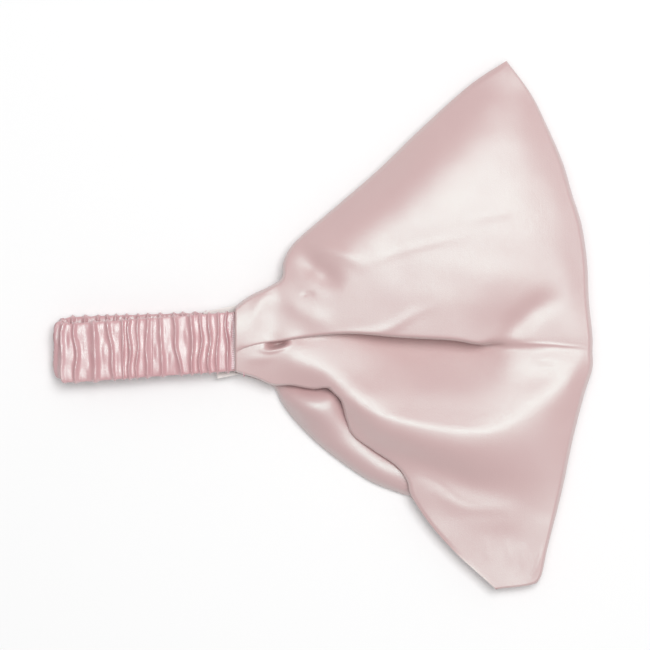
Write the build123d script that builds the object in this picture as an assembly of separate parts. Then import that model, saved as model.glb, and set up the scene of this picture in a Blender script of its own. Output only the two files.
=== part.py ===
from build123d import *
import os
from math import pi, sin

# Satin loop headband with a wide pleated front, lying flat with the loop closed.
#
# The front is a double cloth, an outer satin and a lining, folded in half at centre front. Its
# two ends are pleated down to the width of an elastic band, which closes the loop at the back
# inside a ruched satin casing.
#
# Frame, in millimetres: +X runs from the back of the loop to the fold at centre front, +Y lies
# across the band, and +Z points up from the table. The origin is in the middle of the headband's
# footprint, on the table. "Lower" and "upper" mean the half next to the table and the half on it.

# ---------------------------------------------------------------- driving dimensions, mm
LAID_LENGTH = 242.0  # from the back of the elastic loop to the fold at centre front
FRONT_HEIGHT = 237.0  # across the front at its fold, corner to corner
GATHER_X = -40.0  # where the pleated front meets the casing
FOLD_START_X = 82.0  # from here to its end the front bends round centre front
FOLD_REACH_Y = -13.0  # the height across the band at which the fold reaches furthest
BAND_Y = -10.0  # the elastic band's middle, a little below the front's
PLEAT_STEP = 1.0  # how much narrower the sewn pleats are than the band, on each side
UPPER_FLARE = 0.87  # below 1, the upper side edge swells outwards on its way to the fold
LOWER_FLARE = 1.0  # the lower side edge runs straight

CLOTH = 0.7  # a satin ply with its creases
PLY_GAP = 1.2  # air between the outer satin and its lining
PUFF = 14.0  # how far the upper half's satin stands above its own edges
OPENING_GAP = 5.4  # between the two runs of the band, where the head goes

ELASTIC_WIDTH = 25.0
ELASTIC_THICKNESS = 1.3
CASING_SIDE_EASE = 1.8  # between the elastic's edges and the ruched casing
CASING_FACE_EASE = 0.9  # between the elastic's faces and the ruched casing
SPLIT_X = -77.0  # where the moving end of the loop parts from the runs beside the front

THREAD = 0.4  # a stitch's diameter and a seam line's height
STITCH_LENGTH = 2.4
STITCH_PITCH = 3.0
SIDE_SEAM_INSET = 3.0  # the side seams' distance from the front's edges
SEAM_WIDTH = 0.6
JOIN_STITCH_INSET = 4.0  # the join's stitches, inside the front's end
TACK_INSET = 3.0  # the elastic's tacks, inside the casing's end

LABEL_WIDTH = 33.0
LABEL_LENGTH = 18.0  # what shows of the label beyond the join
LABEL_TUCK = 6.0  # what is caught in the join
LABEL_THICKNESS = 0.3

FOLD_CLEARANCE = 0.4  # between the fold and the upper half that opens beside it
BODY_CLEARANCE = 0.3  # between any other two pieces that move apart
LAYING = 0.2  # between pieces that lie on each other
DOME_LEAN = 0.5  # room at the pleats for the domed ply's end, which leans

# ---------------------------------------------------------------- worked out from them
BACK_X = -LAID_LENGTH / 2
FOLD_X = LAID_LENGTH / 2
TOP_Y = FRONT_HEIGHT / 2
RUN = ELASTIC_THICKNESS + 2 * (CASING_FACE_EASE + CLOTH)  # one run of the band
BAND_WIDTH = ELASTIC_WIDTH + 2 * (CASING_SIDE_EASE + CLOTH)
PLEATED_WIDTH = BAND_WIDTH - 2 * PLEAT_STEP  # the front's width where its pleats are sewn down
STACK = 2 * RUN + OPENING_GAP  # both runs, and the fold, from the table up
TURN_X = BACK_X + STACK / 2  # the centre of the band's turn at the back
FOLD_RADIUS = ((FOLD_X - FOLD_START_X) ** 2 + (TOP_Y - FOLD_REACH_Y) ** 2) / (
    2 * (FOLD_X - FOLD_START_X)
)
CASING_ROUNDING = 0.45  # the casing's corner radius, as a share of its thickness
EDGE_POINTS = 7  # along each side edge of the front
DOME_ACROSS = 9  # across the upper half's satin


# ---------------------------------------------------------------- the front's outline
def along(share):
    """X at a share of the way from the pleats to the fold."""
    return GATHER_X + share * (FOLD_START_X - GATHER_X)


def upper_edge(share):
    """Y of the front's upper side edge."""
    start = BAND_Y + PLEATED_WIDTH / 2
    return start + (TOP_Y - start) * share**UPPER_FLARE


def lower_edge(share):
    """Y of the front's lower side edge."""
    start = BAND_Y - PLEATED_WIDTH / 2
    return start - (TOP_Y + start) * share**LOWER_FLARE


def edge_curve(edge, inset, end_gap=0.0):
    """A side edge as a curve, moved inwards by an inset."""
    side = 1 if edge is upper_edge else -1
    last = 1 - end_gap / (FOLD_START_X - GATHER_X)
    shares = [last * i / (EDGE_POINTS - 1) for i in range(EDGE_POINTS)]
    return Spline([(along(s), edge(s) - side * inset) for s in shares])


def ply(bottom, end_gap=0.0):
    """One flat ply of a half, from the pleats to the fold, with its underside at bottom."""
    above = edge_curve(upper_edge, 0.0, end_gap)
    below = edge_curve(lower_edge, 0.0, end_gap)
    outline = [above, Line(above @ 1, below @ 1), below, Line(below @ 0, above @ 0)]
    return Pos(0, 0, bottom) * extrude(make_face(outline), CLOTH)


def domed_ply(edge_height, end_gap):
    """A ply that stands up like a pillow between its edges, which are all at one height."""
    whole = FOLD_START_X - GATHER_X
    first = DOME_LEAN / whole
    last = 1 - end_gap / whole
    rows = []
    for i in range(EDGE_POINTS):
        way = i / (EDGE_POINTS - 1)
        share = first + way * (last - first)
        low, high = lower_edge(share), upper_edge(share)
        row = []
        for j in range(DOME_ACROSS):
            across = j / (DOME_ACROSS - 1)
            rise = PUFF * sin(pi * way) * sin(pi * across)
            row.append((along(share), low + across * (high - low), edge_height + rise))
        rows.append(row)
    return thicken(Face.make_surface_from_array_of_points(rows), CLOTH)


def side_seams(bottom, end_gap=0.0):
    """The two seam lines that join a half's outer satin to its lining."""
    lines = []
    for edge in (upper_edge, lower_edge):
        outer = edge_curve(edge, SIDE_SEAM_INSET, end_gap)
        inner = edge_curve(edge, SIDE_SEAM_INSET + SEAM_WIDTH, end_gap)
        outline = [outer, Line(outer @ 1, inner @ 1), inner, Line(inner @ 0, outer @ 0)]
        lines.append(Pos(0, 0, bottom) * extrude(make_face(outline), THREAD))
    return Compound(lines)


# ---------------------------------------------------------------- the fold at centre front
def fold_disc(inset):
    """The round-edged disc whose rim is the fold, made smaller all round by an inset."""
    half = STACK / 2 - inset
    reach = FOLD_RADIUS - inset
    rim = reach - half
    profile = [
        Line((0, -half), (rim, -half)),
        ThreePointArc((rim, -half), (reach, 0), (rim, half)),
        Line((rim, half), (0, half)),
        Line((0, half), (0, -half)),
    ]
    disc = revolve(Plane.XZ * make_face(profile), Axis.Z)
    return Pos(FOLD_X - FOLD_RADIUS, FOLD_REACH_Y, STACK / 2) * disc


def fold_ply(depth):
    """One ply of the fold, at a depth under the front's outer face."""
    ring = fold_disc(depth) - fold_disc(depth + CLOTH)
    span = FOLD_X - FOLD_START_X
    beyond_stack = 2 * STACK
    cut = Box(span, FRONT_HEIGHT, beyond_stack, align=(Align.MIN, Align.CENTER, Align.CENTER))
    return ring & (Pos(FOLD_START_X, 0, 0) * cut)


# ---------------------------------------------------------------- the band at the back
def band_section(depth, thickness, width, corner):
    """A strip's section in the lower run, at a depth over the loop's outer face."""
    strip = RectangleRounded(thickness, width, corner) if corner else Rectangle(thickness, width)
    standing = Plane(origin=(0, BAND_Y, depth + thickness / 2), x_dir=(0, 0, 1), z_dir=(1, 0, 0))
    return standing * strip


def lower_run(section, start, end):
    """The section carried along the lower run."""
    return extrude(Pos(start, 0, 0) * section, end - start, dir=(1, 0, 0))


def upper_run(section, start, end):
    """The same strip in the upper run, where the loop's outer face is on top."""
    return mirror(lower_run(section, start, end), Plane.XY.offset(STACK / 2))


def back_loop(section):
    """The strip from the split in one run, round the turn, to the split in the other."""
    end = SPLIT_X - BODY_CLEARANCE
    hub = Axis((TURN_X, 0, STACK / 2), (0, 1, 0))
    turn = revolve(Pos(TURN_X, 0, 0) * section, hub, 180)
    return lower_run(section, TURN_X, end) + turn + upper_run(section, TURN_X, end)


def casing(shape):
    """The ruched tube of satin round the elastic."""
    inner_run = RUN - 2 * CLOTH
    outside = band_section(0, RUN, BAND_WIDTH, CASING_ROUNDING * RUN)
    inside = band_section(CLOTH, inner_run, BAND_WIDTH - 2 * CLOTH, CASING_ROUNDING * inner_run)
    return shape(outside) - shape(inside)


def elastic(shape):
    """The woven elastic inside the casing."""
    depth = CLOTH + CASING_FACE_EASE
    return shape(band_section(depth, ELASTIC_THICKNESS, ELASTIC_WIDTH, 0))


def casing_seam(shape):
    """The casing's own long seam, inside it on the side next to the head."""
    depth = RUN - CLOTH - LAYING - THREAD
    return shape(band_section(depth, THREAD, SEAM_WIDTH, 0))


# ---------------------------------------------------------------- stitches and the label
def stitch_row(x, width, height):
    """A row of as many separate stitches as the width holds, across the band at a height."""
    count = int((width + STITCH_PITCH - STITCH_LENGTH) / STITCH_PITCH)
    stitches = []
    for i in range(count):
        y = BAND_Y + (i - (count - 1) / 2) * STITCH_PITCH
        stitch = Rot(90, 0, 0) * Cylinder(THREAD / 2, STITCH_LENGTH)
        stitches.append(Pos(x, y, height) * stitch)
    return Compound(stitches)


def join_width():
    """The width between the two side seams, where the join is stitched."""
    share = JOIN_STITCH_INSET / (FOLD_START_X - GATHER_X)
    half = min(upper_edge(share) - BAND_Y, BAND_Y - lower_edge(share))
    return 2 * (half - SIDE_SEAM_INSET - SEAM_WIDTH - LAYING)


def label():
    """The blank label, laid on the lower run and caught in the join."""
    length = LABEL_LENGTH + LABEL_TUCK
    tape = Box(length, LABEL_WIDTH, LABEL_THICKNESS, align=(Align.MIN, Align.CENTER, Align.MIN))
    return Pos(GATHER_X - LABEL_LENGTH, BAND_Y, RUN + LAYING) * tape


# ---------------------------------------------------------------- every node
def build():
    def beside_lower(section):
        return lower_run(section, SPLIT_X, GATHER_X)

    def beside_upper(section):
        return upper_run(section, SPLIT_X, GATHER_X)

    lining_depth = CLOTH + PLY_GAP
    between_plies = CLOTH + (PLY_GAP - THREAD) / 2
    stitch_depth = CLOTH + PLY_GAP / 2
    join_x = GATHER_X + JOIN_STITCH_INSET
    tack_x = GATHER_X - TACK_INSET
    tack_depth = CLOTH + CASING_FACE_EASE - LAYING - THREAD / 2
    label_top = RUN + LAYING + LABEL_THICKNESS
    return {
        "front_lower_outer": ply(0.0),
        "front_lower_lining": ply(lining_depth),
        "front_fold_outer": fold_ply(0.0),
        "front_fold_lining": fold_ply(lining_depth),
        "front_upper_outer": domed_ply(STACK - CLOTH, FOLD_CLEARANCE),
        "front_upper_lining": ply(STACK - lining_depth - CLOTH, FOLD_CLEARANCE),
        "side_seams_lower": side_seams(between_plies),
        "side_seams_upper": side_seams(STACK - between_plies - THREAD, FOLD_CLEARANCE),
        "join_stitching_lower": stitch_row(join_x, join_width(), stitch_depth),
        "join_stitching_upper": stitch_row(join_x, join_width(), STACK - stitch_depth),
        "casing_lower_run": casing(beside_lower),
        "casing_upper_run": casing(beside_upper),
        "casing_back_loop": casing(back_loop),
        "elastic_lower_run": elastic(beside_lower),
        "elastic_upper_run": elastic(beside_upper),
        "elastic_back_loop": elastic(back_loop),
        "casing_seam_lower": casing_seam(beside_lower),
        "casing_seam_upper": casing_seam(beside_upper),
        "casing_seam_back": casing_seam(back_loop),
        "elastic_tack_lower": stitch_row(tack_x, ELASTIC_WIDTH, tack_depth),
        "elastic_tack_upper": stitch_row(tack_x, ELASTIC_WIDTH, STACK - tack_depth),
        "blank_label": label(),
        "label_stitching": stitch_row(
            GATHER_X + LABEL_TUCK / 2, LABEL_WIDTH, label_top + LAYING + THREAD / 2
        ),
    }


def main():
    os.makedirs("parts", exist_ok=True)
    for name, solid in build().items():
        export_step(solid, f"parts/{name}.step")


main()
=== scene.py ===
import math

import bpy
import numpy as np
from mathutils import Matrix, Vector


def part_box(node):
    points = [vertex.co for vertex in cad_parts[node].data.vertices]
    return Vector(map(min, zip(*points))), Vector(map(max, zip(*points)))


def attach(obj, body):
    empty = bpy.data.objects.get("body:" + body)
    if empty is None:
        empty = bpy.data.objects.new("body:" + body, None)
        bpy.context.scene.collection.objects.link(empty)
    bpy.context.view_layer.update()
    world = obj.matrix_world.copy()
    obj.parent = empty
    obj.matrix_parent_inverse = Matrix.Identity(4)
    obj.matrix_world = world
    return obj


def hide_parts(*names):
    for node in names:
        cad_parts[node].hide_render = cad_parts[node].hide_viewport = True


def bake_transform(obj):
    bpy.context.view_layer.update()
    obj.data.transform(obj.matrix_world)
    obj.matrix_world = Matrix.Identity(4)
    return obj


# A pale pink satin headband, laid flat on a white table with its loop closed. The wide front is
# double cloth, satin outside and satin lining inside, folded in half at centre front. Its pleated
# ends are sewn to a ruched casing with elastic in it, which closes the loop at the back.
# Every place comes from the frame. Work is done in millimetres and meshes are made in metres.

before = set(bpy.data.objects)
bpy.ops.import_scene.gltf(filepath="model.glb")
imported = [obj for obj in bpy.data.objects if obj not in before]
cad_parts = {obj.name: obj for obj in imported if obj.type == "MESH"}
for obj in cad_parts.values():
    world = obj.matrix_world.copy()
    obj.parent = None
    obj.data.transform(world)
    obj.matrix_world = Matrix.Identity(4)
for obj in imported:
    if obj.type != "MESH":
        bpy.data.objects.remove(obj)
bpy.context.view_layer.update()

MM = 0.001

# ---- sizes from the frame


def box_mm(node):
    """The lowest and highest corner of a CAD node, in mm."""
    low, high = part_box(node)
    return np.array(low) / MM, np.array(high) / MM


HALF_LOW, HALF_HIGH = box_mm("front_lower_outer")
FOLD_HIGH = box_mm("front_fold_outer")[1]
UPPER_LINING_LOW = box_mm("front_upper_lining")[0]
LOOP_LOW = box_mm("casing_back_loop")[0]
RUN_LOW, RUN_HIGH = box_mm("casing_lower_run")
ELASTIC_LOW, ELASTIC_HIGH = box_mm("elastic_lower_run")
LABEL_LOW, LABEL_HIGH = box_mm("blank_label")

JOIN_X = HALF_LOW[0]
FRONT_LENGTH = FOLD_HIGH[0] - JOIN_X
HALF_HEIGHT = HALF_HIGH[1]
STACK = FOLD_HIGH[2]
MIDDLE = STACK / 2
SPLIT_X = RUN_LOW[0]
BACK_X = LOOP_LOW[0]
RUN_CENTRE = RUN_HIGH[2] / 2
BAND_WIDTH = RUN_HIGH[1] - RUN_LOW[1]
ELASTIC_WIDTH = ELASTIC_HIGH[1] - ELASTIC_LOW[1]
ELASTIC_THICKNESS = ELASTIC_HIGH[2] - ELASTIC_LOW[2]
LABEL_LENGTH, LABEL_WIDTH, LABEL_THICKNESS = LABEL_HIGH - LABEL_LOW
UP = [0.0, 0.0, 1.0]

# ---- lines


def place(along, across, *height):
    """A point of the front: along is 0 at the band and 1 at the fold, across is -1 to 1."""
    return JOIN_X + along * FRONT_LENGTH, across * HALF_HEIGHT, *height


def spline(points, steps=20):
    """A Catmull-Rom curve through points."""
    p = np.array(points, float)
    p = np.vstack([2 * p[0] - p[1], p, 2 * p[-1] - p[-2]])
    t = np.linspace(0, 1, steps, endpoint=False)[:, None]
    found = []
    for a, b, c, d in zip(p[:-3], p[1:-2], p[2:-1], p[3:]):
        curve = 2 * b + (c - a) * t + (2 * a - 5 * b + 4 * c - d) * t**2
        found.append(0.5 * (curve + (3 * b - a - 3 * c + d) * t**3))
    return np.vstack([*found, p[-2:-1]])


def at_shares(line, shares):
    """Points of a line at shares of its length, 0 to 1."""
    steps = np.linalg.norm(np.diff(line[:, :2], axis=0), axis=1)
    way = np.concatenate([[0], np.cumsum(steps)]) / steps.sum()
    return np.stack([np.interp(shares, way, line[:, i]) for i in range(line.shape[1])], 1)


def front_line(shares, count=80):
    """A line on the front, from its points' shares, as evenly spaced points in mm."""
    return at_shares(spline([place(*s) for s in shares]), np.linspace(0, 1, count))


def nearest(points, line):
    """How far each point is from a line, and at what share of the line it is nearest."""
    best = np.full(len(points), 1e9)
    way = np.zeros(len(points))
    steps = np.diff(line[:, :2], axis=0)
    lengths = np.linalg.norm(steps, axis=1)
    gone = 0.0
    for start, step, length in zip(line[:, :2], steps, lengths):
        t = np.clip(((points - start) @ step) / max(length**2, 1e-9), 0, 1)
        distance = np.linalg.norm(points - start - t[:, None] * step, axis=1)
        nearer = distance < best
        best[nearer] = distance[nearer]
        way[nearer] = gone + t[nearer] * length
        gone += length
    return best, way / gone


# ---- height fields


FIRM_EASE = 0.5
SOFT_EASE = 6.0  # lets the surface pass a soft line by
KERNEL_SCALE = 10.0


class Heights:
    """A thin-plate surface through lines of known height, all in mm."""

    def __init__(self, lines, soft=(), spacing=7.0):
        """Solves for the weights of points set every spacing along the lines."""
        found, ease = [], []
        for name, shares in lines.items():
            points = np.array([place(*s) for s in shares])
            if name not in soft:
                length = np.linalg.norm(np.diff(points[:, :2], axis=0), axis=1).sum()
                count = max(len(points), int(length / spacing) + 1)
                points = at_shares(spline(points), np.linspace(0, 1, count))
            found.append(points)
            ease += [SOFT_EASE if name in soft else FIRM_EASE] * len(points)
        p = np.vstack(found)
        self.at = p[:, :2]
        count = len(p)
        whole = np.zeros((count + 3, count + 3))
        whole[:count, :count] = self.kernel(self.at) + np.diag(ease)
        whole[:count, count:] = np.c_[np.ones(count), self.at]
        whole[count:, :count] = whole[:count, count:].T
        self.weights = np.linalg.solve(whole, np.r_[p[:, 2], np.zeros(3)])

    def kernel(self, points):
        """The thin-plate kernel between points and the surface's own points."""
        squared = ((points[:, None, :] - self.at[None, :, :]) ** 2).sum(-1) / KERNEL_SCALE**2
        return 0.5 * squared * np.log(squared + 1e-9)

    def __call__(self, points):
        """The height at each point."""
        flat = np.c_[np.ones(len(points)), points] @ self.weights[-3:]
        return self.kernel(points) @ self.weights[:-3] + flat


def rounded(distance, radius):
    """0 at an edge, rising as a quarter circle to 1 at a radius from it."""
    t = np.clip(distance / radius, 0, 1)
    return np.sqrt(1 - (1 - t) ** 2)


def smooth(t):
    """0 to 1 with level ends."""
    t = np.clip(t, 0, 1)
    return t * t * (3 - 2 * t)


def ridge(points, shares, height, width, taper=0.42):
    """A low ridge along a line on the front, or a valley where height is below 0."""
    distance, way = nearest(points, front_line(shares, 40))
    ends = smooth(np.minimum(way, 1 - way) / taper)
    return height * ends * np.exp(-((distance / width) ** 2))


def waves(points, size, seed, count=9):
    """Smooth irregular undulations, mostly -1 to 1, of about a size across."""
    chance = np.random.default_rng(seed)
    total = np.zeros(len(points))
    for _ in range(count):
        angle = chance.uniform(0, math.pi)
        length = size * chance.uniform(0.6, 1.7)
        direction = np.array([math.cos(angle), math.sin(angle)])
        total += np.sin(2 * math.pi * (points @ direction) / length + chance.uniform(0, 6.28))
    return total / math.sqrt(count)


def undulation(points, layers):
    """The sum of layers of waves, each with its height and size in mm and its seed."""
    return sum(height * waves(points, size, seed) for height, size, seed in layers)


# ---- meshes


def grid_mesh(name, points, around=False, faces_up=True, capped=False):
    """A smooth quad mesh from rows x columns x 3 points in mm."""
    rows, columns = points.shape[:2]
    index = np.arange(rows * columns).reshape(rows, columns)
    if around:
        index = np.c_[index, index[:, :1]]
    corners = [index[:-1, :-1], index[1:, :-1], index[1:, 1:], index[:-1, 1:]]
    if not faces_up:
        corners.reverse()
    faces = np.stack([c.ravel() for c in corners], 1).tolist()
    if capped:
        ends = [index[0, :-1].tolist(), index[-1, :-1].tolist()]
        ends[0 if faces_up else 1].reverse()
        faces += ends
    return make_mesh(name, points.reshape(-1, 3), faces)


def make_mesh(name, points, faces):
    """A smooth-shaded object from points in mm and their faces."""
    mesh = bpy.data.meshes.new(name)
    mesh.from_pydata((points * MM).tolist(), [], faces)
    mesh.polygons.foreach_set("use_smooth", np.ones(len(faces), bool))
    mesh.update()
    piece = bpy.data.objects.new(name, mesh)
    bpy.context.scene.collection.objects.link(piece)
    return piece


def patch(start, end, low, high, rows, columns):
    """A grid of plan points between four border lines (a Coons patch).

    start and end have a point for each column, low and high a point for each row."""
    u, v = rows[:, None, None], columns[None, :, None]
    sides = (1 - v) * low[:, None] + v * high[:, None] + (1 - u) * start[None] + u * end[None]
    first = (1 - u) * ((1 - v) * start[:1] + v * start[-1:])
    last = u * ((1 - v) * end[:1] + v * end[-1:])
    return sides - first - last


# ---- the front's lines
# A point is (along, across), or (along, across, height in mm) where a height is known, with
# along and across as in place(). Sides and groove run from the band to the fold. The fold's
# edge runs from its far corner to its near corner.

NEAR_CORNER = [(0.55, -0.765), (0.62, -0.87), (0.685, -0.95), (0.73, -1.005)]
UPPER_SIDE = [
    (0.0, 0.07), (0.04, 0.11), (0.1, 0.15), (0.13, 0.18), (0.135, 0.24), (0.155, 0.295), (0.195, 0.35),
    (0.295, 0.465), (0.405, 0.595), (0.515, 0.74), (0.655, 0.91), (0.76, 1.005),
]
LOWER_SIDE = [
    (0.0, -0.18), (0.06, -0.205), (0.105, -0.23), (0.155, -0.23), (0.195, -0.24), (0.225, -0.245),
    (0.255, -0.24), (0.275, -0.26), (0.295, -0.29), (0.31, -0.36), (0.33, -0.42), (0.385, -0.475),
    (0.45, -0.535), (0.48, -0.59), (0.495, -0.655), *NEAR_CORNER,
]
# the lower half's near side, which stands out past the upper half's and shows as a pocket
UNDER_SIDE = [
    (0.0, -0.18), (0.075, -0.215), (0.11, -0.24), (0.13, -0.295), (0.165, -0.36), (0.23, -0.45),
    (0.305, -0.53), (0.385, -0.6), (0.47, -0.645), (0.495, -0.66), *NEAR_CORNER,
]
FOLD_EDGE = [
    (0.76, 1.005), (0.825, 0.885), (0.865, 0.78), (0.915, 0.625), (0.945, 0.49), (0.97, 0.38),
    (0.985, 0.24), (0.99, 0.095), (1.0, -0.04), (1.0, -0.105), (1.0, -0.165), (0.975, -0.275),
    (0.945, -0.435), (0.915, -0.63), (0.875, -0.845), (0.855, -0.96), (0.825, -0.99), (0.73, -1.005),
]
GROOVE = [
    (0.0, -0.105), (0.075, -0.08), (0.135, -0.07), (0.21, -0.055), (0.32, -0.045), (0.46, -0.06),
    (0.6, -0.07), (0.685, -0.085), (0.755, -0.075), (0.865, -0.085), (0.97, -0.09), (1.0, -0.105),
]
# the satin's heights on the far side of the groove
ABOVE = {
    "crest": [
        (0.01, -0.05, 16.6), (0.08, -0.05, 16), (0.14, -0.04, 16.7), (0.21, -0.03, 18),
        (0.32, -0.02, 19.8), (0.45, 0.02, 21.6), (0.59, 0.09, 23.4), (0.7, 0.15, 24),
    ],
    "lip": [
        (0.01, -0.09, 15.6), (0.08, -0.08, 15.8), (0.14, -0.06, 16.2), (0.21, -0.05, 17.2),
        (0.32, -0.04, 18.8), (0.46, -0.05, 20.2), (0.6, -0.06, 20.4), (0.68, -0.07, 19.6),
        (0.75, -0.08, 17.6), (0.87, -0.09, 16.9), (0.97, -0.1, 16.2),
    ],
    "shoulder": [(0.1, 0.11, 16), (0.13, 0.15, 15.4)],
    "panel": [(0.01, 0.05, 16.6), (0.01, -0.02, 17.2)],
    "pleat edge": [(0.08, 0.1, 16.2), (0.06, 0.05, 16.4), (0.05, -0.02, 16.4)],
    "pleat hollow": [(0.12, 0.11, 14.8), (0.1, 0.05, 14.7), (0.09, -0.02, 15)],
    "edge": [
        (0.01, 0.06, 15.2), (0.04, 0.1, 14.4), (0.11, 0.14, 13.4), (0.15, 0.24, 13), (0.21, 0.34, 12.8),
        (0.31, 0.45, 12.6), (0.42, 0.58, 12.4), (0.53, 0.73, 12.2), (0.66, 0.88, 11.8),
        (0.75, 0.97, 11.2),
    ],
    "slope": [
        (0.23, 0.28, 17.5), (0.32, 0.38, 18.5), (0.42, 0.49, 18.8), (0.52, 0.62, 18.6),
        (0.63, 0.74, 17.8), (0.71, 0.84, 16.2),
    ],
    "shelf": [
        (0.31, 0.28, 21), (0.4, 0.38, 22.4), (0.5, 0.49, 22.6), (0.6, 0.61, 22), (0.71, 0.74, 19.8),
        (0.77, 0.85, 16),
    ],
    "field": [
        (0.18, 0.04, 17.6), (0.32, 0.13, 20.2), (0.46, 0.27, 22.8), (0.57, 0.34, 23.8), (0.7, 0.42, 24),
        (0.7, 0.59, 22.8), (0.77, 0.66, 20), (0.8, 0.44, 22.2), (0.81, 0.28, 22),
    ],
    "fold crest": [
        (0.81, 0.84, 14), (0.85, 0.66, 16.4), (0.89, 0.47, 18), (0.91, 0.32, 18.4), (0.93, 0.17, 18),
        (0.96, -0.04, 16.8),
    ],
    "fold edge": [
        (0.79, 0.94, 11.4), (0.86, 0.76, 12.8), (0.91, 0.61, 13.8), (0.95, 0.46, 14.6), (0.97, 0.32, 15),
        (0.98, 0.13, 15.2), (0.99, -0.02, 15.2), (0.99, -0.09, 15),
    ],
    "end": [(0.74, 0.02, 19.6), (0.81, 0.08, 19.2), (0.87, 0.15, 19.2), (0.87, 0.0, 17.2)],
}
# the satin's heights on the near side, from down in the groove and over the lower puff
BELOW = {
    "groove floor": [
        (0.01, -0.11, 14.8), (0.04, -0.1, 14.8), (0.08, -0.09, 15), (0.13, -0.08, 14.8),
        (0.21, -0.06, 14), (0.28, -0.06, 12.8), (0.35, -0.05, 9.8), (0.39, -0.06, 8), (0.46, -0.06, 6.4),
        (0.6, -0.07, 6.4), (0.68, -0.08, 8), (0.75, -0.08, 13.4), (0.87, -0.09, 16.6), (0.97, -0.1, 16),
    ],
    "start": [
        (0.01, -0.16, 13.8), (0.08, -0.15, 14.4), (0.13, -0.16, 14.4), (0.08, -0.11, 15.6),
        (0.13, -0.11, 16.2),
    ],
    "crest": [
        (0.18, -0.09, 16.4), (0.16, -0.14, 16.8), (0.2, -0.16, 17.2), (0.24, -0.17, 17.6),
        (0.28, -0.22, 18.2), (0.31, -0.28, 19), (0.35, -0.31, 20), (0.42, -0.34, 20.8),
        (0.47, -0.36, 21.4), (0.57, -0.39, 22.2), (0.67, -0.41, 22.4), (0.75, -0.38, 21.8),
        (0.82, -0.32, 21), (0.88, -0.25, 19.8), (0.92, -0.23, 19), (0.95, -0.16, 17.6),
    ],
    "roll": [
        (0.21, -0.12, 16.2), (0.31, -0.16, 15.8), (0.35, -0.21, 16.8), (0.42, -0.24, 16.9),
        (0.47, -0.25, 16.8), (0.54, -0.25, 16.8), (0.67, -0.25, 17), (0.77, -0.22, 17.6),
        (0.87, -0.19, 17.4),
    ],
    "rise": [
        (0.42, -0.29, 19), (0.47, -0.31, 19.3), (0.54, -0.32, 19.7), (0.67, -0.33, 19.9),
        (0.77, -0.3, 19.8),
    ],
    "wall": [
        (0.32, -0.13, 14.6), (0.42, -0.16, 12.8), (0.47, -0.16, 12.2), (0.54, -0.17, 12),
        (0.67, -0.17, 12.6), (0.75, -0.15, 15),
    ],
    "foot": [
        (0.35, -0.09, 12.2), (0.42, -0.1, 9.8), (0.47, -0.11, 8.8), (0.54, -0.11, 8.6),
        (0.67, -0.11, 9.8), (0.73, -0.12, 12.8),
    ],
    "edge": [
        (0.01, -0.18, 13.4), (0.08, -0.2, 12.6), (0.15, -0.22, 12.8), (0.23, -0.23, 13.4),
        (0.27, -0.27, 14), (0.29, -0.35, 12.6), (0.33, -0.41, 12), (0.39, -0.46, 11.8),
        (0.47, -0.53, 11.6), (0.5, -0.63, 10.8), (0.56, -0.76, 10), (0.63, -0.86, 9.6),
        (0.73, -0.97, 9.3),
    ],
    "slope": [
        (0.32, -0.3, 17.8), (0.4, -0.39, 19.6), (0.47, -0.42, 20.4), (0.57, -0.46, 21),
        (0.68, -0.48, 20.9), (0.79, -0.44, 20.2), (0.87, -0.38, 18.8),
    ],
    "drop": [
        (0.4, -0.43, 15.8), (0.48, -0.47, 16.6), (0.57, -0.51, 17.2), (0.69, -0.55, 17.3),
        (0.8, -0.55, 16.8),
    ],
    "valley": [
        (0.3, -0.33, 12.8), (0.34, -0.39, 12.6), (0.39, -0.44, 12.8), (0.47, -0.49, 13.3),
        (0.54, -0.53, 13.5), (0.62, -0.58, 13.4), (0.7, -0.62, 13.2), (0.78, -0.66, 12.6),
        (0.85, -0.71, 11.8),
    ],
    "band": [(0.52, -0.6, 12.4), (0.6, -0.66, 12.6), (0.71, -0.71, 12.3), (0.81, -0.74, 11.4)],
    "corner": [
        (0.57, -0.69, 11), (0.68, -0.78, 10.5), (0.8, -0.8, 10), (0.74, -0.87, 9.8), (0.8, -0.91, 9.5),
    ],
    "right side": [(0.92, -0.36, 16), (0.91, -0.51, 14.7), (0.89, -0.66, 13), (0.86, -0.82, 11.5)],
    "fold edge": [
        (0.99, -0.1, 15), (0.98, -0.23, 14.5), (0.95, -0.37, 14), (0.92, -0.57, 12.8),
        (0.89, -0.78, 11.4), (0.86, -0.92, 10.4),
    ],
}
SOFT_LINES = ("field", "end", "shelf")
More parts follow.
